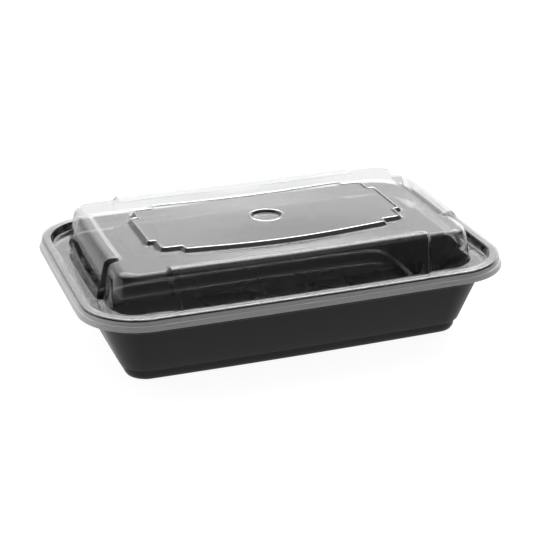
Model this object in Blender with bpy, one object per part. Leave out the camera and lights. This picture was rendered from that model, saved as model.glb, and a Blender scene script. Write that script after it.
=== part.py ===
# Rectangular takeaway meal container: a black tray and its clear domed press-on lid.
# Sizes below are millimetres, the mesh is written in metres. X is the long way, Z is up.
# The origin is under the middle of the tray, on the surface that it stands on.

import bmesh
import bpy
import numpy as np
from mathutils import Vector

MM = 0.001

# Plan of the lid's skirt. Every other outline is this one moved inwards.
LENGTH = 222.0
WIDTH = 150.0
SKIRT_RADIUS = 30.4
RADIUS_LOSS = 0.88        # corner radius lost for each mm inwards
LONG_BOW = 1.2            # how far a long side bulges at its middle
SHORT_BOW = 0.4
ARC_STEPS = 8             # faces round a quarter corner

# Heights
CREASE_Z = 7.1            # where the tray's wall steps in to its foot
SKIRT_Z = 37.1            # lower edge of the lid's skirt
MOAT_Z = 38.5             # floor of the channel round the dome
RIM_Z = 43.0              # top of the lid's rim
TOP_Z = 57.4              # flat top of the dome
CREST_Z = 59.6            # crest of the four bays
PANEL_Z = 59.4            # edge of the raised panel
DISH_RIM_Z = 59.1         # the panel sags a little to its centre
DISH_Z = 57.4             # floor of the round dish

# Walls and gaps
LID_WALL = 0.5
FLOOR_WALL = 0.9

# The four bays that stand out from the dome's walls
LONG_BAY = 67.4           # half length of the bays on the long sides
SHORT_BAY = 31.2          # half length of the bays on the short sides
BAY_END = 0.8             # plan slope of a bay's end face
LONG_BAY_BOW = 1.9
SHORT_BAY_BOW = 0.5

# Raised panel on the dome
PANEL_HALF_LENGTH = 67.8
PANEL_HALF_WIDTH = 36.7
PANEL_SAG = 4.9           # bow of the panel's long sides
PANEL_BOWED_TO = 52.5     # half length of the bowed stretch
PANEL_EAR_X = 64.0        # the panel's corner ears
PANEL_EAR_Y = 27.9
PANEL_EAR_RADIUS = 3.2
PANEL_END_Y = 16.8        # half width of the part that reaches furthest
PANEL_SLOPE = 0.7         # plan width of the panel's step
DISH_RADIUS = 8.2
DISH_SLOPE = 0.8


def corner_radius(inset):
    return SKIRT_RADIUS - RADIUS_LOSS * inset


def whole_ring(quarter):
    """Repeat a quarter outline, from the +X axis to the +Y axis, round all four quarters."""
    second = (quarter * (-1, 1, 1))[::-1]
    third = quarter * (-1, -1, 1)
    fourth = (quarter * (1, -1, 1))[::-1]
    return np.concatenate([part[:-1] for part in (quarter, second, third, fourth)])


def corner_arc(half_x, half_y, radius):
    turn = np.linspace(0.0, np.pi / 2, ARC_STEPS + 1)
    return half_x - radius + radius * np.cos(turn), half_y - radius + radius * np.sin(turn)


def bowed_ring(inset, z, short_stops, long_stops):
    """Rounded rectangle whose sides bulge, at one inset and height."""
    half_x = LENGTH / 2 - SHORT_BOW - inset
    half_y = WIDTH / 2 - LONG_BOW - inset
    arc_x, arc_y = corner_arc(half_x, half_y, corner_radius(inset))
    x = np.concatenate([np.full(len(short_stops), half_x), arc_x, long_stops[::-1]])
    y = np.concatenate([short_stops, arc_y, np.full(len(long_stops), half_y)])
    bulge_x = SHORT_BOW * (1 - (y / half_y) ** 2) * (x / half_x)
    bulge_y = LONG_BOW * (1 - (x / half_x) ** 2) * (y / half_y)
    return whole_ring(np.stack([x + bulge_x, y + bulge_y, np.full(len(x), z)], axis=1))


def dome_ring(wall, bay):
    """One level of the dome: wall is (half x, half y, corner radius, z) between the bays,
    and bay is (half x, half y, z) on them."""
    half_x, half_y, radius, wall_z = wall
    bay_x, bay_y, bay_z = bay
    arc_x, arc_y = corner_arc(half_x, half_y, radius)
    short_stops, long_stops = lid_stops()
    on_short = short_stops[:-1]
    on_long = long_stops[:-1]
    short_x = bay_x + SHORT_BAY_BOW * (1 - (on_short / SHORT_BAY) ** 2)
    long_y = bay_y + LONG_BAY_BOW * (1 - (on_long / LONG_BAY) ** 2)
    x = np.concatenate([short_x, [half_x], arc_x, long_stops[-1:], on_long[::-1]])
    y = np.concatenate([on_short, short_stops[-1:], arc_y, [half_y], long_y[::-1]])
    z = np.full(len(x), wall_z)
    z[:len(on_short)] = bay_z
    z[-len(on_long):] = bay_z
    return whole_ring(np.stack([x, y, z], axis=1))


def lid_stops():
    """Places along half a side: across a bay, then one just past its end."""
    short = np.append(np.linspace(0.0, SHORT_BAY, 4), SHORT_BAY + BAY_END)
    long = np.append(np.linspace(0.0, LONG_BAY, 5), LONG_BAY + BAY_END)
    return short, long


def panel_quarter(z):
    """Quarter outline of the raised panel: straight end, notch, corner ear, notch, bowed side."""
    end_y = np.array([0.0, 0.5, 1.0]) * PANEL_END_Y
    ear_turn = np.linspace(0.0, np.pi / 2, 5)
    ear_x = PANEL_EAR_X - PANEL_EAR_RADIUS * (1 - np.cos(ear_turn))
    ear_y = PANEL_EAR_Y - PANEL_EAR_RADIUS * (1 - np.sin(ear_turn))
    bow_x = PANEL_BOWED_TO * np.array([1.0, 0.87, 0.72, 0.56, 0.38, 0.19, 0.0])
    bow_y = PANEL_HALF_WIDTH - PANEL_SAG * (bow_x / PANEL_BOWED_TO) ** 2
    notch_x = [PANEL_EAR_X + 0.3, PANEL_EAR_X]
    notch_y = [PANEL_END_Y + 0.4, PANEL_END_Y + 4.0]
    between_x = [PANEL_BOWED_TO + 4.2, PANEL_BOWED_TO + 0.5, PANEL_BOWED_TO + 0.2]
    between_y = [PANEL_EAR_Y + 0.1, PANEL_EAR_Y + 0.2, PANEL_EAR_Y + 1.2]
    x = np.concatenate([np.full(3, PANEL_HALF_LENGTH), notch_x, ear_x, between_x, bow_x])
    y = np.concatenate([end_y, notch_y, ear_y, between_y, bow_y])
    return np.stack([x, y, np.full(len(x), z)], axis=1)


def spread(ring, distance, z):
    """The ring moved outwards in plan by a distance, corners mitred, at a new height."""
    edge = np.roll(ring, -1, axis=0) - ring
    edge[:, 2] = 0
    normal = np.stack([edge[:, 1], -edge[:, 0]], axis=1)
    normal /= np.linalg.norm(normal, axis=1)[:, None]
    before = np.roll(normal, 1, axis=0)
    middle = normal + before
    middle /= np.linalg.norm(middle, axis=1)[:, None]
    miter = distance / np.maximum((middle * normal).sum(axis=1), 0.5)
    moved = ring.copy()
    moved[:, :2] += middle * miter[:, None]
    moved[:, 2] = z
    return moved


def circle_like(ring, radius, z):
    """A circle with one point on the same bearing as each point of the ring."""
    bearing = np.arctan2(ring[:, 1], ring[:, 0])
    return np.stack([radius * np.cos(bearing), radius * np.sin(bearing), np.full(len(ring), z)], axis=1)


def loft_faces(ring_count, ring_size):
    """Quads between successive rings, facing out where the rings climb."""
    faces = []
    for k in range(ring_count - 1):
        for i in range(ring_size):
            j = (i + 1) % ring_size
            low, high = k * ring_size, (k + 1) * ring_size
            faces.append((low + i, low + j, high + j, high + i))
    return faces


def face_normal(points):
    normal = Vector((0, 0, 0))
    for i in range(1, len(points) - 1):
        normal += (points[i] - points[0]).cross(points[i + 1] - points[0])
    return normal.normalized()


def inner_skin(points, faces, wall):
    """Move each point inwards so that it lies one wall thickness behind all its faces."""
    square = np.zeros((len(points), 3, 3))
    total = np.zeros((len(points), 3))
    for face in faces:
        normal = np.array(face_normal([Vector(points[v]) for v in face]))
        for v in face:
            square[v] += np.outer(normal, normal)
            total[v] += normal
    size = np.trace(square, axis1=1, axis2=2)
    square += (0.02 * size)[:, None, None] * np.eye(3)
    step = np.linalg.solve(square, total[:, :, None])[:, :, 0]
    return points - wall * 1.02 * step


def make_object(name, points, faces, colour, roughness, transmission):
    mesh = bpy.data.meshes.new(name)
    mesh.from_pydata((points * MM).tolist(), [], faces)
    mesh.validate()
    tidy = bmesh.new()
    tidy.from_mesh(mesh)
    bmesh.ops.triangulate(tidy, faces=[f for f in tidy.faces if len(f.verts) > 3])
    bmesh.ops.recalc_face_normals(tidy, faces=tidy.faces[:])
    tidy.to_mesh(mesh)
    tidy.free()
    mesh.shade_smooth()
    mesh.set_sharp_from_angle(angle=np.radians(32))
    material = bpy.data.materials.new(name + "_plastic")
    material.use_nodes = True
    shader = material.node_tree.nodes["Principled BSDF"]
    shader.inputs["Base Color"].default_value = (*colour, 1.0)
    shader.inputs["Roughness"].default_value = roughness
    shader.inputs["Metallic"].default_value = 0.0
    shader.inputs["Transmission Weight"].default_value = transmission
    mesh.materials.append(material)
    made = bpy.data.objects.new(name, mesh)
    bpy.context.scene.collection.objects.link(made)
    return made


# The tray is one closed section carried round its outline: out under the foot, up the wall,
# over the rim and down the inside. Each entry is (inset from the skirt's edge, height).
def tray_section():
    rim_top = RIM_Z - LID_WALL - 0.32
    outside = [
        (27.6, 0.0), (25.9, 0.2), (24.7, 1.0), (23.5, 2.8), (22.6, 5.2), (22.1, CREASE_Z - 0.9),
        (20.3, CREASE_Z), (11.2, 31.0), (10.6, 31.6), (9.7, 35.4), (8.6, 36.2), (5.6, 36.8),
        (4.75, 37.6), (4.45, 40.9), (4.1, 41.4), (3.5, 41.4), (3.0, 41.0), (2.9, 39.1)]
    lip = [(2.15, 39.1), (2.2, 41.2), (2.6, 41.95)]
    inside = [
        (3.2, rim_top), (4.7, rim_top), (5.15, 41.7), (5.45, 38.1), (6.2, 37.4), (8.9, 36.9),
        (10.1, 36.0), (12.0, 31.0), (21.1, CREASE_Z + 0.3), (22.9, CREASE_Z - 0.5), (23.5, 5.0),
        (24.4, 3.0), (25.6, 1.5), (27.4, FLOOR_WALL)]
    return outside + lip + inside


def build_tray():
    short_stops = np.array([0.0, 20.0])
    long_stops = np.array([0.0, 26.0, 52.0])
    section = tray_section()
    rings = [bowed_ring(inset, z, short_stops, long_stops) for inset, z in section]
    size = len(rings[0])
    faces = loft_faces(len(rings), size)
    faces.append(tuple(range(size))[::-1])
    faces.append(tuple((len(rings) - 1) * size + i for i in range(size)))
    return make_object("tray", np.concatenate(rings), faces, (0.02, 0.02, 0.021), 0.35, 0.0)


# Rim of the lid, from the skirt's lower edge over the top and down into the channel.
def rim_rings():
    section = [
        (0.0, SKIRT_Z), (0.65, 39.55), (1.0, 39.85), (1.2, 41.0), (1.3, 42.2), (1.6, 42.8), (2.2, RIM_Z),
        (5.4, RIM_Z), (6.1, 42.65), (6.4, 42.0), (7.05, 39.2), (7.5, 38.65), (8.3, MOAT_Z)]
    short_stops, long_stops = lid_stops()
    return [bowed_ring(inset, z, short_stops, long_stops) for inset, z in section]


# Dome of the lid, from its foot to the flat top. Each level gives the walls between the bays
# and then the bays themselves, whose crest stands above the top.
def dome_rings():
    levels = [
        ((94.9, 56.7, 13.8, MOAT_Z), (98.1, 58.2, MOAT_Z)),
        ((94.3, 56.3, 13.6, MOAT_Z + 1.0), (97.5, 57.8, MOAT_Z + 1.0)),
        ((92.2, 55.1, 12.2, 51.5), (96.0, 56.6, 52.5)),
        ((91.4, 54.6, 11.7, 54.2), (95.1, 55.9, 55.4)),
        ((90.1, 53.8, 10.7, 56.1), (93.4, 54.9, 58.0)),
        ((88.4, 52.7, 9.4, 57.1), (91.2, 53.6, 59.3)),
        ((87.0, 51.6, 8.4, TOP_Z), (88.8, 52.2, CREST_Z)),
        ((86.0, 50.8, 7.6, TOP_Z), (86.5, 50.9, 58.9)),
        ((85.2, 50.0, 7.0, TOP_Z), (85.2, 49.8, TOP_Z))]
    return [dome_ring(wall, bay) for wall, bay in levels]


def build_lid():
    panel = whole_ring(panel_quarter(PANEL_Z))
    rings = rim_rings() + dome_rings()
    rings.append(spread(panel, PANEL_SLOPE, TOP_Z))
    rings.append(panel)
    rings.append(circle_like(panel, DISH_RADIUS, DISH_RIM_Z))
    rings.append(circle_like(panel, DISH_RADIUS - DISH_SLOPE, DISH_Z))
    size = len(panel)
    faces = loft_faces(len(rings), size)
    points = np.concatenate(rings + [np.array([[0.0, 0.0, DISH_Z]])])
    centre = len(points) - 1
    last = (len(rings) - 1) * size
    faces += [(last + i, last + (i + 1) % size, centre) for i in range(size)]
    count = len(points)
    both = np.concatenate([points, inner_skin(points, faces, LID_WALL)])
    shell = faces + [tuple(v + count for v in face[::-1]) for face in faces]
    shell += [(i, i + count, (i + 1) % size + count, (i + 1) % size) for i in range(size)]
    return make_object("lid", both, shell, (0.95, 0.96, 0.96), 0.08, 1.0)


def clear_scene():
    for old in list(bpy.data.objects):
        bpy.data.objects.remove(old, do_unlink=True)


clear_scene()
build_tray()
build_lid()
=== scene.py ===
import bpy
import numpy as np
from mathutils import Matrix


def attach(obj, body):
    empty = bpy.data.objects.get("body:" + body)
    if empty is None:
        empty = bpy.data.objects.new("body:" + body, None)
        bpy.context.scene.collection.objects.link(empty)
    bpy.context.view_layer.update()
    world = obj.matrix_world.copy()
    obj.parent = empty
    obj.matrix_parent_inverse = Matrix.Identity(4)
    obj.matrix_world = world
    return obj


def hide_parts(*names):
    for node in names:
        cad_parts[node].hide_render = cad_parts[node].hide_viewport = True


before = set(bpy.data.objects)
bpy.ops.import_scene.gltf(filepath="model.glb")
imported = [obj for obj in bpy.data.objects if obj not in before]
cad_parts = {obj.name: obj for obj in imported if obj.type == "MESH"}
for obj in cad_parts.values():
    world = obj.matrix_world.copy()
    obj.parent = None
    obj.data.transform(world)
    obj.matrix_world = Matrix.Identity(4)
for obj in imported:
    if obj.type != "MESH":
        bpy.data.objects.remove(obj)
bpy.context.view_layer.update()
mm = 0.001
print("frame loaded with nodes", sorted(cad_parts))

# Plan that the tray and the lid share, in millimetres. Insets count from the skirt's lower edge.
plan = {
    "halfLength": 111.0,
    "halfWidth": 75.0,
    "skirtRadius": 30.4,
    "radiusLoss": 0.88,      # corner radius lost for each mm inwards
    "longBow": 1.2,          # bulge of the long sides at their middle
    "shortBow": 0.4,
}


# ---- shared shapes


# A polyline with its corners blended: each corner gives way to a parabola between the two
# points that lie r * tan(half the turn) before and after it, 0.06 at least so that no two
# points fall together. Runs are cut evenly.
def softPath(corners, radii, arcSteps, runSteps):
    point = np.array(corners, float)
    step = np.diff(point, axis=0)
    heading = step / np.linalg.norm(step, axis=1)[:, None]
    before, after = heading[:-1], heading[1:]
    turn = np.arccos(np.clip((before * after).sum(axis=1), -1, 1))
    reach = np.maximum(np.array(radii, float) * np.tan(turn / 2), 0.06)
    t = np.linspace(0, 1, arcSteps + 1)[None, :, None]
    start = -before * reach[:, None]
    end = after * reach[:, None]
    blend = point[1:-1, None] + (1 - t) ** 2 * start[:, None] + t ** 2 * end[:, None]
    pieces = [point[:1]]
    for k in range(len(blend)):
        pieces.append(evenRun(pieces[-1][-1], blend[k][0], runSteps[k]))
        pieces.append(blend[k])
    pieces.append(evenRun(pieces[-1][-1], point[-1], runSteps[-1]))
    pieces.append(point[-1:])
    return np.concatenate(pieces)


# The points between two ends, the ends left out
def evenRun(first, last, steps):
    share = np.linspace(0, 1, steps + 1)[1:-1, None]
    return first + (last - first) * share


# A quarter grid (levels, stations, 3), from the +X axis to the +Y axis, mirrored all round
def allRound(quarter):
    second = (quarter * (-1, 1, 1))[:, ::-1]
    third = quarter * (-1, -1, 1)
    fourth = (quarter * (1, -1, 1))[:, ::-1]
    return np.concatenate([part[:, :-1] for part in (quarter, second, third, fourth)], axis=1)


# First quarter of a rounded rectangle, one row for each level: stations at fixed places
# near the axes, then evenly spaced up to the corner, then by angle round it.
def quarterPlan(halfX, halfY, radius, stops):
    halfX, halfY, radius = (np.asarray(v, float)[:, None] for v in (halfX, halfY, radius))
    onShort, onLong = stops["short"], stops["long"]
    share = np.linspace(0, 1, stops["freeSteps"] + 1)[1:-1]
    turn = np.linspace(0, np.pi / 2, stops["turnSteps"] + 1)
    straightY = halfY - radius
    straightX = halfX - radius
    shortY = np.concatenate([
        onShort + 0 * halfX,
        onShort[-1] + share * (straightY - onShort[-1])], axis=1)
    longX = np.concatenate([
        straightX + share * (onLong[-1] - straightX),
        onLong[::-1] + 0 * halfX], axis=1)
    x = np.concatenate([halfX + 0 * shortY, straightX + radius * np.cos(turn), longX], axis=1)
    y = np.concatenate([shortY, straightY + radius * np.sin(turn), halfY + 0 * longX], axis=1)
    return x, y


# The plan moved inwards by an inset for each level. Sides bulge by bow * (1 - (along / half)^2).
def bowedPlan(inset, stops):
    inset = np.asarray(inset, float)
    halfX = plan["halfLength"] - plan["shortBow"] - inset
    halfY = plan["halfWidth"] - plan["longBow"] - inset
    x, y = quarterPlan(halfX, halfY, plan["skirtRadius"] - plan["radiusLoss"] * inset, stops)
    acrossX, acrossY = x / halfX[:, None], y / halfY[:, None]
    x = x + plan["shortBow"] * (1 - acrossY ** 2) * acrossX
    y = y + plan["longBow"] * (1 - acrossX ** 2) * acrossY
    return x, y


# Rises from 0 to 1 between two places, with soft ends
def ease(value, low, high):
    t = np.clip((value - low) / (high - low), 0, 1)
    return t * t * (3 - 2 * t)


# A straight rise from 0 to 1 between two places, its corners rounded by a running mean:
# the mean of a clipped ramp over +-soft is the difference of its integral at both ends.
def ramp(value, low, high, soft):
    t = (value - low) / (high - low)
    ahead, behind = (0.5 * np.clip(v, 0, 1) ** 2 + np.maximum(v - 1, 0) for v in (t + soft, t - soft))
    return (ahead - behind) / (2 * soft)


# 1 within halfWidth of a centre, easing to 0 over the edge width
def hump(value, centre, halfWidth, edge):
    return 1 - ease(np.abs(value - centre), halfWidth - edge / 2, halfWidth + edge / 2)


# Quads of a grid that closes round its stations
def gridFaces(levels, stations, first=0):
    row = np.arange(levels - 1)[:, None] * stations
    here = np.arange(stations)[None]
    following = (here + 1) % stations
    low, high = first + row, first + row + stations
    quads = np.stack([low + here, low + following, high + following, high + here], axis=-1)
    return quads.reshape(-1, 4)


# Angle of each point round the middle, from 0 to a full turn, anticlockwise from the +X axis
def bearing(points):
    return np.mod(np.arctan2(points[:, 1], points[:, 0]) + 1e-9, 2 * np.pi)


# Triangles between an outer and an inner loop of different counts, both running anticlockwise
# from the +X axis. Whichever loop's next point has the lower bearing moves on first.
def zipFaces(outer, inner, outerFirst, innerFirst):
    countOuter, countInner = len(outer), len(inner)
    nextOuter = np.append(bearing(outer)[1:], 2 * np.pi)
    nextInner = np.append(bearing(inner)[1:], 2 * np.pi)
    order = np.argsort(np.concatenate([nextOuter, nextInner]), kind="stable")
    isOuter = order < countOuter
    i = np.cumsum(isOuter) - isOuter
    j = np.cumsum(~isOuter) - ~isOuter
    outerHere = outerFirst + i % countOuter
    outerNext = outerFirst + (i + 1) % countOuter
    innerHere = innerFirst + j % countInner
    innerNext = innerFirst + (j + 1) % countInner
    second = np.where(isOuter, outerNext, innerNext)
    return np.stack([outerHere, second, innerHere], axis=1)


# Triangles from the last loop to one middle point
def fanFaces(first, count, middle):
    here = np.arange(count)
    return np.stack([first + here, first + (here + 1) % count, np.full(count, middle)], axis=1)


# Each face's normal is the cross product of its diagonals, or of two sides of a triangle. A
# vertex takes the sum of its faces' normals, brought to length 1.
def vertexNormals(points, quads, tris):
    total = np.zeros_like(points)
    for faces in (quads, tris):
        corner = points[faces]
        across = corner[:, 2] - corner[:, 0]
        other = corner[:, -1] - corner[:, 1] if faces.shape[1] == 4 else corner[:, 1] - corner[:, 0]
        normal = np.cross(across, other) if faces.shape[1] == 4 else np.cross(other, across)
        for k in range(faces.shape[1]):
            np.add.at(total, faces[:, k], normal)
    return total / np.maximum(np.linalg.norm(total, axis=1), 1e-12)[:, None]


# The material of each face is the one of the list that its number gives
def addPiece(name, points, quads, tris, materials, numbers, node):
    mesh = bpy.data.meshes.new(name)
    faces = quads.tolist() + tris.tolist()
    mesh.from_pydata((points * mm).tolist(), [], faces)
    mesh.shade_smooth()
    for material in materials:
        mesh.materials.append(material)
    mesh.polygons.foreach_set("material_index", numbers)
    mesh.update()
    piece = bpy.data.objects.new(name, mesh)
    bpy.context.scene.collection.objects.link(piece)
    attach(piece, "root")
    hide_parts(node)
    print(name, "has", len(points), "points and", len(quads) * 2 + len(tris), "triangles")
    return piece


# ---- materials


# A material with nodes, and its Principled shader
def newMaterial(name):
    material = bpy.data.materials.new(name)
    material.use_nodes = True
    nodes = material.node_tree.nodes
    return material, nodes, material.node_tree.links, nodes["Principled BSDF"]


# Surface that a moulded plastic takes from its mould: a fine grain, and slow waves where
# the wall has shrunk unevenly. Puts out a height for a Bump node and a mask of the waves.
def buildMouldSurface():
    group = bpy.data.node_groups.new("mouldSurface", "ShaderNodeTree")
    face = group.interface
    face.new_socket(name="Vector", in_out="INPUT", socket_type="NodeSocketVector")
    for name in ("Grain Scale", "Grain Height", "Wave Scale", "Wave Height"):
        face.new_socket(name=name, in_out="INPUT", socket_type="NodeSocketFloat")
    face.new_socket(name="Height", in_out="OUTPUT", socket_type="NodeSocketFloat")
    face.new_socket(name="Waves", in_out="OUTPUT", socket_type="NodeSocketFloat")
    nodes, links = group.nodes, group.links
    inside = nodes.new("NodeGroupInput")
    outside = nodes.new("NodeGroupOutput")
    grain = nodes.new("ShaderNodeTexNoise")
    grain.inputs["Detail"].default_value = 2.0
    waves = nodes.new("ShaderNodeTexNoise")
    waves.inputs["Detail"].default_value = 1.0
    links.new(inside.outputs["Vector"], grain.inputs["Vector"])
    links.new(inside.outputs["Vector"], waves.inputs["Vector"])
    links.new(inside.outputs["Grain Scale"], grain.inputs["Scale"])
    links.new(inside.outputs["Wave Scale"], waves.inputs["Scale"])
    grainPart = mathNode(nodes, links, "MULTIPLY", grain.outputs["Fac"], inside.outputs["Grain Height"])
    wavePart = mathNode(nodes, links, "MULTIPLY", waves.outputs["Fac"], inside.outputs["Wave Height"])
    both = mathNode(nodes, links, "ADD", grainPart, wavePart)
    links.new(both, outside.inputs["Height"])
    links.new(waves.outputs["Fac"], outside.inputs["Waves"])
    return group


# One Math node on two sockets or numbers
def mathNode(nodes, links, operation, first, second):
    node = nodes.new("ShaderNodeMath")
    node.operation = operation
    for socket, value in zip(node.inputs, (first, second)):
        if isinstance(value, (int, float)):
            socket.default_value = value
        else:
            links.new(value, socket)
    return node.outputs[0]


# The mould surface in object coordinates, through a Bump node of the given depth in metres
def placeMouldSurface(nodes, links, shader, values, distance):
    place = nodes.new("ShaderNodeTexCoord")
    surface = nodes.new("ShaderNodeGroup")
    surface.node_tree = mouldSurface
    links.new(place.outputs["Object"], surface.inputs["Vector"])
    for name, value in values.items():
        surface.inputs[name].default_value = value
    bump = nodes.new("ShaderNodeBump")
    bump.inputs["Strength"].default_value = 1.0
    bump.inputs["Distance"].default_value = distance
    links.new(surface.outputs["Height"], bump.inputs["Height"])
    links.new(bump.outputs["Normal"], shader.inputs["Normal"])
    return surface


trayLook = {
    "colour": (0.006, 0.006, 0.0062),
    "roughLow": 0.22,
    "roughHigh": 0.32,
    "ior": 1.49,
    "surface": {"Grain Scale": 2200.0, "Grain Height": 0.12, "Wave Scale": 22.0, "Wave Height": 1.0},
    "bumpDistance": 0.00012,
}

lidLook = {
    "colour": (0.985, 0.99, 0.99),
    "roughness": 0.03,
    "clear": 1.0,
    "ior": 1.49,
    "surface": {"Grain Scale": 900.0, "Grain Height": 0.004, "Wave Scale": 30.0, "Wave Height": 1.0},
    "bumpDistance": 0.00008,
}

hemLook = {
    "colour": (0.93, 0.935, 0.935),
    "roughness": 0.1,
    "clear": 0.1,            # the rest scatters: the fine ribs of the skirt look milky
    "ior": 1.49,
    "surface": {"Grain Scale": 900.0, "Grain Height": 0.05, "Wave Scale": 30.0, "Wave Height": 1.0},
    "bumpDistance": 0.00008,
}


# Black plastic whose roughness follows the slow waves of its surface
def buildTrayPlastic(look):
    material, nodes, links, shader = newMaterial("blackPlastic")
    shader.inputs["Base Color"].default_value = (*look["colour"], 1)
    shader.inputs["IOR"].default_value = look["ior"]
    surface = placeMouldSurface(nodes, links, shader, look["surface"], look["bumpDistance"])
    spread = nodes.new("ShaderNodeMapRange")
    spread.inputs["To Min"].default_value = look["roughLow"]
    spread.inputs["To Max"].default_value = look["roughHigh"]
    links.new(surface.outputs["Waves"], spread.inputs["Value"])
    links.new(spread.outputs["Result"], shader.inputs["Roughness"])
    return material


# Clear plastic, milky where its share of clear is low
def buildLidPlastic(name, look):
    material, nodes, links, shader = newMaterial(name)
    shader.inputs["Base Color"].default_value = (*look["colour"], 1)
    shader.inputs["Roughness"].default_value = look["roughness"]
    shader.inputs["IOR"].default_value = look["ior"]
    shader.inputs["Transmission Weight"].default_value = look["clear"]
    placeMouldSurface(nodes, links, shader, look["surface"], look["bumpDistance"])
    return material


mouldSurface = buildMouldSurface()
blackPlastic = buildTrayPlastic(trayLook)
clearPlastic = buildLidPlastic("clearPlastic", lidLook)
hemPlastic = buildLidPlastic("hemPlastic", hemLook)
print("materials built")


# ---- tray


# The section is carried round the plan: out under the foot, up the wall, over the rim and
# down the inside. Corners are (inset, height), each with the radius that softens it.
tray = {
    "corners": [
        (29.5, 0.0), (22.5, 0.0), (22.1, 6.1), (20.2, 7.0), (10.9, 31.0), (10.5, 31.5), (9.2, 36.2),
        (4.8, 36.9), (4.5, 41.4), (2.95, 41.4), (2.9, 39.1), (2.15, 39.1), (2.2, 42.18),
        (5.2, 42.18), (5.45, 37.3), (10.0, 36.5), (11.9, 31.0), (21.2, 7.4), (23.4, 6.4),
        (25.9, 0.9), (30.5, 0.9)],
    "radii": [
        4.0, 0.8, 0.6, 0.4, 0.4, 1.2, 0.8, 0.6, 0.4, 0.25, 0.25, 0.7, 0.6, 0.9, 1.5, 3.0, 1.0, 1.0, 3.0],
    "runSteps": [2, 3, 2, 6, 1, 2, 2, 2, 1, 2, 1, 2, 2, 3, 2, 2, 5, 2, 3, 2],
    "arcSteps": 4,
    "stops": {
        "short": np.linspace(0, 38, 8),
        "long": np.linspace(0, 76, 15),
        "freeSteps": 3,
        "turnSteps": 26},
}


# Grid point = (bowed plan at the section's inset, the section's height), closed by a middle
# point under the foot and one on the floor
def buildTray(look):
    section = softPath(look["corners"], look["radii"], look["arcSteps"], look["runSteps"])
    inset, height = section[:, 0], section[:, 1]
    x, y = bowedPlan(inset, look["stops"])
    grid = allRound(np.stack([x, y, height[:, None] + 0 * x], axis=-1))
    levels, stations = grid.shape[:2]
    points = np.concatenate([grid.reshape(-1, 3), [[0, 0, height[0]], [0, 0, height[-1]]]])
    middle = levels * stations
    quads = gridFaces(levels, stations)
    underside = fanFaces(0, stations, middle)[:, ::-1]
    floor = fanFaces((levels - 1) * stations, stations, middle + 1)
    tris = np.concatenate([underside, floor])
    numbers = np.zeros(len(quads) + len(tris), int)
    return addPiece("trayShell", points, quads, tris, [blackPlastic], numbers, "tray")


buildTray(tray)


# ---- lid


lid = {
    "wall": 0.4,
    # Rim section: stacked lines of the skirt, ledge, shoulder, crown, inner wall, channel floor
    "rimCorners": [
        (0.0, 37.1), (0.0, 37.55), (0.2, 37.7), (0.22, 38.2), (0.42, 38.35), (0.44, 38.85), (0.62, 39.0),
        (0.66, 39.6), (1.3, 39.7), (1.4, 41.2), (1.45, 42.98), (3.7, 43.08), (6.15, 43.0), (7.15, 38.5),
        (8.3, 38.5)],
    "rimRadii": [0.1, 0.1, 0.1, 0.1, 0.1, 0.1, 0.2, 0.15, 0.6, 0.9, 3.0, 0.7, 0.7],
    "rimRuns": [1, 1, 1, 1, 1, 1, 1, 1, 2, 2, 2, 2, 3, 1],
    "rimArc": 2,
    "hemTop": 41.4,
    # Dome sections between the bays and on the short and long bays, as (distance in, height)
    "wallCorners": [
        (-3.3, 38.5), (0, 38.5), (2.6, 56.3), (5.6, 57.4), (7.6, 57.4), (9.0, 57.4), (11.0, 57.4)],
    "wallRadii": [0.9, 2.6, 1.5, 0.2, 0.2],
    "shortCorners": [
        (-3.3, 38.5), (0, 38.5), (5.0, 58.8), (9.8, 58.8), (11.2, 58.8), (14.1, 57.4), (14.8, 57.4)],
    "shortRadii": [0.9, 4.5, 0.2, 1.2, 0.6],
    "longCorners": [
        (-3.3, 38.5), (0, 38.5), (3.1, 59.1), (8.6, 59.0), (12.6, 57.4), (13.1, 57.4), (13.6, 57.4)],
    "longRadii": [0.9, 5.0, 1.5, 0.25, 0.2],
    "domeRuns": [5, 4, 2, 2, 1, 1],
    "domeArc": 4,
    "wallPlan": {
        "distance": (0.0, 5.6, 11.0),
        "halfLength": (94.9, 87.4, 83.3),
        "halfWidth": (56.7, 52.0, 46.3),
        "radius": (13.8, 8.2, 4.5)},
    "bayFoot": (98.1, 58.2),            # half length and half width on the bays
    "longBay": 66.3,
    "shortBay": 30.4,
    "bayEnd": 2.2,
    "bayEdge": 0.12,                    # rounding of the bays' ends, as a share of bayEnd
    "longBayBow": 1.9,
    "longBayLean": 1.7,                 # how much straighter the bay is at the top
    "leanFrom": 38.5,
    "leanOver": 20,
    "shortBayBow": 0.5,
    "channelSteps": ((37.2, 0.35), (27.4, 0.3)),   # place along the short side, depth
    "channelStepHalf": 0.35,
    "rimDropFade": (43, 4.5),           # the drop grows from this height down, over this much
    "domeDropFade": (44, 5.5),
    "gussets": (0.0, 63.3),
    "gussetSize": (1.5, 3.0, 2.6),      # half width, length over the floor, height on the wall
    "gussetReach": 68,
    "lugs": (0.0, 69.6),
    "lugHalf": 5.5,
    "lugOut": 0.3,
    "lugEdge": 0.8,
    "lugHeight": (39.75, 0.45, 0.5),    # middle, half height, edge
    "notches": (0.0, 26.0),
    "notchAlong": (0.4, 0.6),           # half width, edge
    "notchInset": (6.2, 0.5, 0.5),      # middle, half width, edge
    "notchOut": 0.3,
    "sag": {
        "halfLength": 58.0,
        "across": (0, 10, 32, 37, 47.5, 60),
        "depth": (0.6, 0.65, 1.6, 1.6, 0.4, 0.3),
        "from": 48.0,
        "to": 56.0},
}


# Evenly spaced places round a centre
def near(centre, halfWidth, count):
    return np.linspace(centre - halfWidth, centre + halfWidth, count)


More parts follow.
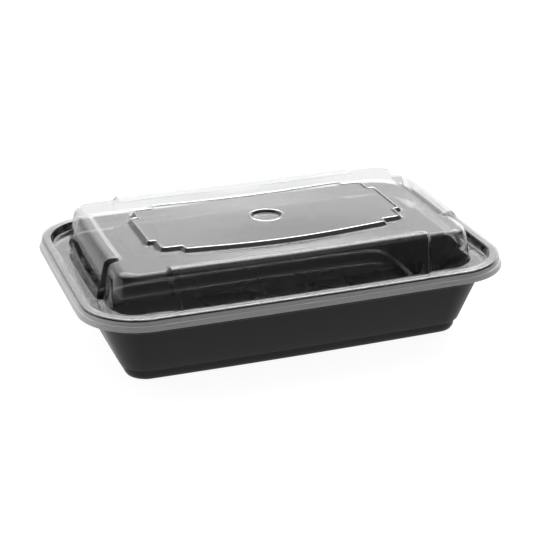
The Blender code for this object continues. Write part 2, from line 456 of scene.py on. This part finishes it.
# Stations along the two sides of a quarter, close together where the relief changes
def lidStops(look):
    short = np.concatenate([
        np.linspace(0, 29.5, 7), near(look["shortBay"] + look["bayEnd"] / 2, 1.5, 15),
        near(27.4, 0.5, 4), near(37.2, 0.5, 4), near(26.0, 0.6, 3), near(0.0, 0.6, 3), [38.5]])
    long = np.concatenate([
        np.linspace(0, 61, 10), near(look["longBay"] + look["bayEnd"] / 2, 1.5, 15),
        near(0, look["gussetSize"][0], 7), near(look["gussets"][1], look["gussetSize"][0], 7),
        near(look["lugHalf"], 0.6, 3), near(look["lugs"][1] - look["lugHalf"], 0.4, 2),
        near(look["lugs"][1] + look["lugHalf"], 0.6, 3), [76.3]])
    short, long = (np.unique(np.round(v[v >= 0], 3)) for v in (short, long))
    return {"short": short, "long": long, "freeSteps": 3, "turnSteps": 16}


# How far along its side each station of the quarter lies, and which side it is on
def sideMasks(look, stops):
    count = len(stops["short"])
    total = count + len(stops["long"]) + 2 * (stops["freeSteps"] - 1) + stops["turnSteps"] + 1
    alongShort = np.full(total, 1e3)
    alongLong = np.full(total, 1e3)
    alongShort[:count] = stops["short"]
    alongLong[total - len(stops["long"]):] = stops["long"][::-1]
    return alongShort, alongLong


# Rim point = bowed plan at the section's inset, pushed out straight by the lugs and notches,
# at the section's height less the drop of the channel's floor
def rimGrid(look, stops):
    section = softPath(look["rimCorners"], look["rimRadii"], look["rimArc"], look["rimRuns"])
    inset, height = section[:, :1], section[:, 1:]
    alongShort, alongLong = sideMasks(look, stops)
    lug = sum(hump(alongLong, place, look["lugHalf"], look["lugEdge"]) for place in look["lugs"])
    lug = lug + hump(alongShort, 0.0, look["lugHalf"], look["lugEdge"])
    notch = sum(hump(alongShort, place, *look["notchAlong"]) for place in look["notches"])
    insetHere = inset + 0 * alongShort
    insetHere = insetHere - look["lugOut"] * lug * hump(height, *look["lugHeight"])
    insetHere = insetHere - look["notchOut"] * notch * hump(inset, *look["notchInset"])
    x, y = bowedPlan(inset[:, 0], stops)
    fadeTop, fadeOver = look["rimDropFade"]
    fade = np.clip((fadeTop - height) / fadeOver, 0, 1)
    drop = channelDrop(look, alongShort) * (inset > 5) * fade
    shift = insetHere - inset
    outwardX = np.where(alongShort < 1e2, 1.0, 0.0)
    outwardY = np.where(alongLong < 1e2, 1.0, 0.0)
    grid = np.stack([x - shift * outwardX, y - shift * outwardY, height - drop], axis=-1)
    return grid


# The channel floor steps down twice towards the middle of each short side
def channelDrop(look, alongShort):
    half = look["channelStepHalf"]
    return sum(
        depth * (1 - ease(alongShort, place - half, place + half))
        for place, depth in look["channelSteps"])


# The dome is a blend of the wall between the bays and the bays themselves, by a share that
# falls from 1 to 0 over a bay's end face.
def domeGrid(look, stops):
    wall, shortPart, longPart = (
        softPath(look[name + "Corners"], look[name + "Radii"], look["domeArc"], look["domeRuns"])
        for name in ("wall", "short", "long"))
    alongShort, alongLong = sideMasks(look, stops)
    across = look["wallPlan"]
    halfX, halfY, radius = (
        np.interp(wall[:, 0], across["distance"], across[name]) - np.minimum(wall[:, 0], 0)
        for name in ("halfLength", "halfWidth", "radius"))
    x, y = quarterPlan(halfX, halfY, radius, stops)
    z = wall[:, 1:] + 0 * x
    bayX = look["bayFoot"][0] - shortPart[:, :1]
    bayY = look["bayFoot"][1] - longPart[:, :1]
    shortBow = look["shortBayBow"] * (1 - (alongShort / look["shortBay"]) ** 2)
    straight = look["longBayLean"] * (longPart[:, 1:] - look["leanFrom"]) / look["leanOver"]
    longBow = straight + (look["longBayBow"] - straight) * (1 - (alongLong / look["longBay"]) ** 2)
    onShort = 1 - ramp(alongShort, look["shortBay"], look["shortBay"] + look["bayEnd"], look["bayEdge"])
    onLong = 1 - ramp(alongLong, look["longBay"], look["longBay"] + look["bayEnd"], look["bayEdge"])
    x = x + onShort * (bayX + np.where(onShort > 0, shortBow, 0) - x)
    y = y + onLong * (bayY + np.where(onLong > 0, longBow, 0) - y)
    z = z + onShort * (shortPart[:, 1:] - z) + onLong * (longPart[:, 1:] - z)
    y, z = addGussets(look, y, z, alongLong, onLong)
    fadeTop, fadeOver = look["domeDropFade"]
    drop = channelDrop(look, alongShort) * np.clip((fadeTop - z) / fadeOver, 0, 1)
    return np.stack([x, y, z - drop], axis=-1)


# A gusset cuts the corner between floor and wall by a chord. Its size falls to nothing over
# its half width, so it is a small three-sided pyramid against the bay.
def addGussets(look, y, z, alongLong, onLong):
    halfWidth, length, height = look["gussetSize"]
    size = sum(np.clip(1 - np.abs(alongLong - place) / halfWidth, 0, 1) for place in look["gussets"])
    size = np.maximum(size * (onLong > 0.9), 1e-6)
    floorZ = look["wallCorners"][0][1]
    along = np.minimum(alongLong, look["gussetReach"]) / look["longBay"]
    footY = look["bayFoot"][1] + look["longBayBow"] * (1 - along ** 2)
    outward = (y - footY) / (length * size)
    upward = (z - floorZ) / (height * size)
    # below the chord where outward + upward < 1: move out along both until the sum is 1
    total = outward.clip(0) + upward.clip(0)
    lift = (total < 1) & (size > 0.01) & (outward > -0.5)
    share = (upward.clip(0) - outward.clip(0) + 1) / 2
    newY = footY + length * size * (1 - share)
    newZ = floorZ + height * size * share
    return np.where(lift, newY, y), np.where(lift, newZ, z)


# The raised panel: straight ends, notches, rounded ears and bowed long sides
panel = {
    "corners": [
        (67.5, 0.0), (67.5, 16.7), (63.8, 17.2), (63.7, 28.0), (53.0, 28.2), (52.6, 32.2), (0.0, 32.2)],
    "radii": [0.5, 0.4, 3.2, 0.5, 0.5],
    "runSteps": [4, 1, 3, 3, 1, 20],
    "arcSteps": 4,
    "bulge": 1.0,
    # step of the panel and the bead on its edge, as (distance out from the outline, height)
    "stepCorners": [(3.2, 57.35), (2.1, 57.35), (0.3, 59.45), (-0.5, 59.45), (-1.15, 58.85), (-1.9, 58.85)],
    "stepRadii": [1.8, 0.5, 0.5, 0.6],
    "stepRuns": [1, 2, 1, 1, 1],
    "dishCorners": [(10.4, 58.85), (9.5, 58.85), (8.0, 59.45), (7.1, 57.35), (5.3, 57.3), (0.4, 57.3)],
    "dishRadii": [0.5, 1.2, 0.6, 0.5],
    "dishRuns": [1, 1, 1, 2, 3],
    "dishArc": 3,
    "spanSteps": 5,
}


# The outline moved out by a distance. Each corner slides along the two edges' mean normal,
# n = (first + second) / (1 + first . second), so the edges stay parallel. Outer corners gain
# the distance in radius and inner ones lose it. The long side bulges by a parabola.
def panelRing(look, distance):
    point = np.array(look["corners"])
    heading = np.diff(point, axis=0)
    heading = heading / np.linalg.norm(heading, axis=1)[:, None]
    normal = np.stack([heading[:, 1], -heading[:, 0]], axis=1)
    first, second = normal[:-1], normal[1:]
    slide = (first + second) / (1 + (first * second).sum(axis=1))[:, None]
    moved = point + distance * np.concatenate([normal[:1], slide, normal[-1:]])
    side = np.sign(first[:, 0] * second[:, 1] - first[:, 1] * second[:, 0])
    radii = np.maximum(look["radii"] + distance * side, 0.05)
    path = softPath(moved, radii, look["arcSteps"], look["runSteps"])
    x, y = path[:, 0], path[:, 1]
    share = np.clip((y - moved[4, 1]) / (moved[5, 1] - moved[4, 1]), 0, 1)
    bow = look["bulge"] * np.clip(1 - (x / moved[5, 0]) ** 2, 0, 1) * share
    return np.stack([x, y + bow], axis=1)


# The panel's outline at each distance and height of its step, then rings blended in a straight
# line to the dish, then circles of the dish's radii
def panelGrid(look):
    step = softPath(look["stepCorners"], look["stepRadii"], look["dishArc"], look["stepRuns"])
    rings = np.stack([panelRing(look, distance) for distance in step[:, 0]])
    heights = np.broadcast_to(step[:, 1:, None], rings.shape[:2] + (1,))
    stepPart = allRound(np.concatenate([rings, heights], axis=2))
    angle = bearing(stepPart[-1])
    circle = np.stack([np.cos(angle), np.sin(angle), 0 * angle], axis=1)
    dish = softPath(look["dishCorners"], look["dishRadii"], look["dishArc"], look["dishRuns"])
    dishPart = dish[:, :1, None] * circle[None]
    dishPart[:, :, 2] = dish[:, 1:]
    share = np.linspace(0, 1, look["spanSteps"] + 1)[1:-1, None, None]
    span = stepPart[-1] + (dishPart[0] - stepPart[-1]) * share
    grid = np.concatenate([stepPart, span, dishPart])
    return grid


# The thin top sags between the ends of the panel by (1 - (x / half)^2)^1.5, most along the
# panel's long edges, and only above the wall's height
def topSag(look, points):
    along = np.clip(1 - (points[:, 0] / look["halfLength"]) ** 2, 0, 1) ** 1.5
    across = np.interp(np.abs(points[:, 1]), look["across"], look["depth"])
    return along * across * ease(points[:, 2], look["from"], look["to"])


# Outer skin = rim, dome and panel. Inner skin = outer skin - wall * normal. The hem joins them.
def buildLid(look, panelLook):
    stops = lidStops(look)
    ring = allRound(np.concatenate([rimGrid(look, stops), domeGrid(look, stops)]))
    inner = panelGrid(panelLook)
    levels, stations = ring.shape[:2]
    panelLevels, panelStations = inner.shape[:2]
    firstPanel = levels * stations
    middle = firstPanel + panelLevels * panelStations
    outside = np.concatenate([ring.reshape(-1, 3), inner.reshape(-1, 3), [[0, 0, inner[-1, 0, 2]]]])
    outside[:, 2] -= topSag(look["sag"], outside)
    quads = np.concatenate([gridFaces(levels, stations), gridFaces(panelLevels, panelStations, firstPanel)])
    tris = np.concatenate([
        zipFaces(ring[-1], inner[0], (levels - 1) * stations, firstPanel),
        fanFaces(middle - panelStations, panelStations, middle)])
    inside = outside - look["wall"] * vertexNormals(outside, quads, tris)
    count = len(outside)
    edge = np.arange(stations)
    following = (edge + 1) % stations
    hem = np.stack([edge, edge + count, following + count, following], axis=1)
    points = np.concatenate([outside, inside])
    allQuads = np.concatenate([quads, quads[:, ::-1] + count, hem])
    allTris = np.concatenate([tris, tris[:, ::-1] + count])
    numbers = np.zeros(len(allQuads) + len(allTris), int)
    skirt = np.argmax(ring[:, 0, 2] > look["hemTop"]) * stations
    numbers[:skirt] = 1
    numbers[len(quads):len(quads) + skirt] = 1
    numbers[2 * len(quads):len(allQuads)] = 1
    return addPiece("lidShell", points, allQuads, allTris, [clearPlastic, hemPlastic], numbers, "lid")


buildLid(lid, panel)


# ---- surroundings

studio = {
    "floorWhite": 0.3,       # what the camera sees directly
    "floorGlow": 0.93,
    "floorRough": 0.9,
    # painted light and shade: the table's glow seen in the plastic, bright under the backdrop and dim
    # towards the camera
    "paintedTableLight": 0.66,       # what mirrors in the plastic and shows through it
    "paintedTableShade": 0.13,
    "tableFrom": -0.2,       # metres along Y
    "tableTo": 0.03,
    "floorHalf": 4.0,
    "skyBack": 1.6,          # bright backdrop behind the object
    "skyFront": 0.15,        # dim room on the camera's side, and straight above
    "skySeen": 1.0,          # what the camera sees directly
    "backFrom": -0.1,        # share of +Y in the direction where the backdrop starts
    "backTo": 0.65,
    "lampGain": 3.0,         # soft lamp over the backdrop, by the direction's share of +Z
    "lampFrom": 0.47,
    "lampTo": 0.66,
    "leftShare": 0.45,       # the backdrop is dimmer on its left, by the share of +X
    "leftFrom": -0.35,
    "leftTo": 0.28,
}


# The camera sees a white table. In the plastic's reflections and through the lid the table is a glow
# with painted light and shade: bright under the backdrop, dim towards the camera's side where the object
# shades it.
def buildFloorMaterial(look):
    material, nodes, links, shader = newMaterial("paleFloor")
    place = nodes.new("ShaderNodeTexCoord")
    split = nodes.new("ShaderNodeSeparateXYZ")
    # painted light and shade: the table's glow is bright towards the backdrop and fades to dim towards the
    # camera
    fall = fadeNode(nodes, look["tableFrom"], look["tableTo"], look["paintedTableShade"], look["paintedTableLight"])
    links.new(place.outputs["Object"], split.inputs["Vector"])
    links.new(split.outputs["Y"], fall.inputs["Value"])
    shader.inputs["Base Color"].default_value = (0, 0, 0, 1)
    shader.inputs["Emission Color"].default_value = (1, 1, 1, 1)
    links.new(fall.outputs["Result"], shader.inputs["Emission Strength"])
    shader.inputs["Roughness"].default_value = look["floorRough"]
    shader.inputs["Specular IOR Level"].default_value = 0.0
    white = nodes.new("ShaderNodeBsdfPrincipled")
    tone = look["floorWhite"]
    white.inputs["Base Color"].default_value = (tone, tone, tone, 1)
    white.inputs["Roughness"].default_value = look["floorRough"]
    white.inputs["Specular IOR Level"].default_value = 0.0
    white.inputs["Emission Color"].default_value = (1, 1, 1, 1)
    white.inputs["Emission Strength"].default_value = look["floorGlow"]
    path = nodes.new("ShaderNodeLightPath")
    choice = nodes.new("ShaderNodeMixShader")
    links.new(path.outputs["Is Camera Ray"], choice.inputs["Fac"])
    links.new(shader.outputs["BSDF"], choice.inputs[1])
    links.new(white.outputs["BSDF"], choice.inputs[2])
    links.new(choice.outputs["Shader"], nodes["Material Output"].inputs["Surface"])
    return material


# A square of table under the object
def buildFloor(look):
    half = look["floorHalf"]
    mesh = bpy.data.meshes.new("floor")
    corners = [(-half, -half, 0), (half, -half, 0), (half, half, 0), (-half, half, 0)]
    mesh.from_pydata(corners, [], [(0, 1, 2, 3)])
    floor = bpy.data.objects.new("floor", mesh)
    bpy.context.scene.collection.objects.link(floor)
    mesh.materials.append(buildFloorMaterial(look))


# A bright backdrop on the far side fades to a dim room on the camera's side. Where a low
# camera looks over the table's edge it sees the same white as on the table.
def buildSky(look):
    world = bpy.data.worlds.new("studioSky")
    world.use_nodes = True
    nodes, links = world.node_tree.nodes, world.node_tree.links
    place = nodes.new("ShaderNodeTexCoord")
    split = nodes.new("ShaderNodeSeparateXYZ")
    links.new(place.outputs["Generated"], split.inputs["Vector"])
    backdrop = fadeNode(nodes, look["backFrom"], look["backTo"], look["skyFront"], look["skyBack"])
    links.new(split.outputs["Y"], backdrop.inputs["Value"])
    lamp = fadeNode(nodes, look["lampFrom"], look["lampTo"], 1.0, look["lampGain"])
    links.new(split.outputs["Z"], lamp.inputs["Value"])
    both = mathNode(nodes, links, "MULTIPLY", backdrop.outputs["Result"], lamp.outputs["Result"])
    side = fadeNode(nodes, look["leftFrom"], look["leftTo"], look["leftShare"], 1.0)
    links.new(split.outputs["X"], side.inputs["Value"])
    everything = mathNode(nodes, links, "MULTIPLY", both, side.outputs["Result"])
    path = nodes.new("ShaderNodeLightPath")
    seen = nodes.new("ShaderNodeMix")
    seen.inputs["B"].default_value = look["skySeen"]
    links.new(path.outputs["Is Camera Ray"], seen.inputs["Factor"])
    links.new(everything, seen.inputs["A"])
    links.new(seen.outputs["Result"], nodes["Background"].inputs["Strength"])
    nodes["Background"].inputs["Color"].default_value = (1, 1, 1, 1)
    bpy.context.scene.world = world


# A soft step from lowValue to highValue between two inputs
def fadeNode(nodes, low, high, lowValue, highValue):
    fade = nodes.new("ShaderNodeMapRange")
    fade.interpolation_type = "SMOOTHSTEP"
    for name, value in zip(("From Min", "From Max", "To Min", "To Max"), (low, high, lowValue, highValue)):
        fade.inputs[name].default_value = value
    return fade


camera = {
    "yaw": -18.911,
    "pitch": 22.634,
    "roll": -0.646,
    "distance": 802.9,
    "target": (-0.06, 0.0, 29.12),
    "focalPixels": 1528.8,
    "imagePixels": 533.0,
    "sensor": 36.0,
    "clip": (0.05, 30),      # metres
}


# The camera stands at target + back * distance, where back points from the object to it by
# the yaw and pitch. The lens is focalPixels / imagePixels of the sensor.
def buildCamera(look):
    yaw, pitch, roll = (np.radians(look[name]) for name in ("yaw", "pitch", "roll"))
    back = np.array([np.sin(yaw) * np.cos(pitch), -np.cos(yaw) * np.cos(pitch), np.sin(pitch)])
    right = np.cross(-back, (0, 0, 1))
    right = right / np.linalg.norm(right)
    up = np.cross(right, -back)
    turnedRight = np.cos(roll) * right + np.sin(roll) * up
    turnedUp = -np.sin(roll) * right + np.cos(roll) * up
    place = (np.array(look["target"]) + back * look["distance"]) * mm
    matrix = np.eye(4)
    matrix[:3, 0], matrix[:3, 1], matrix[:3, 2], matrix[:3, 3] = turnedRight, turnedUp, back, place
    lens = bpy.data.cameras.new("photoCamera")
    lens.sensor_width = look["sensor"]
    lens.lens = look["sensor"] * look["focalPixels"] / look["imagePixels"]
    lens.clip_start, lens.clip_end = look["clip"]
    holder = bpy.data.objects.new("photoCamera", lens)
    holder.matrix_world = Matrix(matrix.tolist())
    bpy.context.scene.collection.objects.link(holder)
    bpy.context.scene.camera = holder


buildFloor(studio)
buildSky(studio)
buildCamera(camera)
bpy.context.scene.view_settings.view_transform = "Standard"
print("surroundings built")
